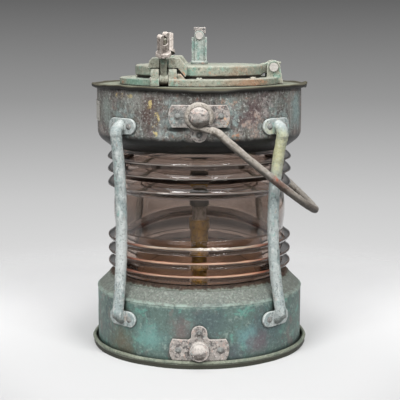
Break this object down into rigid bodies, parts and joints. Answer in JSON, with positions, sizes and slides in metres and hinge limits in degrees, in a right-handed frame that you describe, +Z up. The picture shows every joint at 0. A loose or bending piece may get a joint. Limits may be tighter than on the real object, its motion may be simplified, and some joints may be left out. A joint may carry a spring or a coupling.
{
  "type": "ship lantern",
  "caption": "Ship's anchor lantern: sheet-metal drums round a moulded barrel lens, guard bars, hinged hatch lid with swing-bolt clamps, and a carrying bail.",
  "frame": {"origin": "centre of the tray's flat underside", "axes": "+Z up along the lens axis, -Y towards the pictured front, +X towards the lid's hinge"},
  "size_m": [0.2535, 0.2682, 0.3491],
  "materials": {
    "sheet_verdigris": "turquoise verdigris over copper sheet",
    "sheet_patina": "dark brown patina with verdigris",
    "cast_bronze": "sage green weathered bronze casting",
    "pale_bronze": "pale worn bronze",
    "bail_rod": "dull greyish rod",
    "brass_fittings": "dull brass",
    "lens_glass": "smoky moulded glass",
    "bulb_glass": "clear bulb",
    "packing": "dark packing",
    "holder_metal": "dull grey",
    "holder_plastic": "black moulded"
  },
  "bodies": {
    "lantern": {"base_pan": "sheet_verdigris", "base_drum": "sheet_verdigris", "lower_gasket": "packing", "fresnel_lens": "lens_glass", "upper_gasket": "packing", "upper_drum": "sheet_patina", "top_plate": "sheet_patina", "name_plate": "brass_fittings", "name_plate_pins": "brass_fittings", "guard_front_left": "cast_bronze", "guard_front_right": "cast_bronze", "guard_rear_left": "cast_bronze", "guard_rear_right": "cast_bronze", "guard_rivets": "pale_bronze", "front_upper_lug": "pale_bronze", "rear_upper_lug": "pale_bronze", "front_lower_lug": "pale_bronze", "rear_lower_lug": "pale_bronze", "lug_rivets": "pale_bronze", "front_stud": "pale_bronze", "rear_stud": "pale_bronze", "hatch_ring": "cast_bronze", "ring_screws": "pale_bronze", "hinge_pin": "pale_bronze", "clamp_pin_front": "pale_bronze", "clamp_pin_rear": "pale_bronze", "lamp_flange": "brass_fittings", "flange_screws": "brass_fittings", "lamp_column": "brass_fittings", "lamp_holder": "holder_metal", "holder_cap": "holder_plastic", "lamp_bulb": "bulb_glass", "gland_body": "brass_fittings", "gland_nut": "brass_fittings"},
    "bail": {"bail": "bail_rod"},
    "hatch_lid": {"lid": "cast_bronze", "lid_gasket": "packing", "lifting_post": "cast_bronze", "post_pin": "pale_bronze"},
    "link": {"lifting_link": "pale_bronze"},
    "front_bolt": {"swing_bolt_front": "pale_bronze"},
    "rear_bolt": {"swing_bolt_rear": "pale_bronze"},
    "front_nut": {"wing_nut_front": "pale_bronze"},
    "rear_nut": {"wing_nut_rear": "pale_bronze"}
  },
  "joints": [
    {"name": "bail_swing", "type": "hinge", "parent": "lantern", "child": "bail", "pos_m": [0, 0, 0.2603], "axis": [0, -1, 0], "range_deg": [0, 261]},
    {"name": "lid_open", "type": "hinge", "parent": "lantern", "child": "hatch_lid", "pos_m": [0.0805, 0, 0.3065], "axis": [0, 1, 0], "range_deg": [0, 105]},
    {"name": "front_bolt_swing", "type": "hinge", "parent": "lantern", "child": "front_bolt", "pos_m": [-0.0364, -0.074, 0.2955], "axis": [1, 0, 0], "range_deg": [-22, 53]},
    {"name": "rear_bolt_swing", "type": "hinge", "parent": "lantern", "child": "rear_bolt", "pos_m": [-0.0364, 0.074, 0.2955], "axis": [-1, 0, 0], "range_deg": [-22, 53]},
    {"name": "front_nut_turn", "type": "hinge", "parent": "front_bolt", "child": "front_nut", "pos_m": [-0.0364, -0.074, 0.2955], "axis": [0, -0.3746, 0.9272], "continuous": true},
    {"name": "rear_nut_turn", "type": "hinge", "parent": "rear_bolt", "child": "rear_nut", "pos_m": [-0.0364, 0.074, 0.2955], "axis": [0, 0.3746, 0.9272], "continuous": true},
    {"name": "link_swing", "type": "hinge", "parent": "hatch_lid", "child": "link", "pos_m": [0, 0, 0.3401], "axis": [0, 1, 0], "range_deg": [-70, 70]}
  ]
}
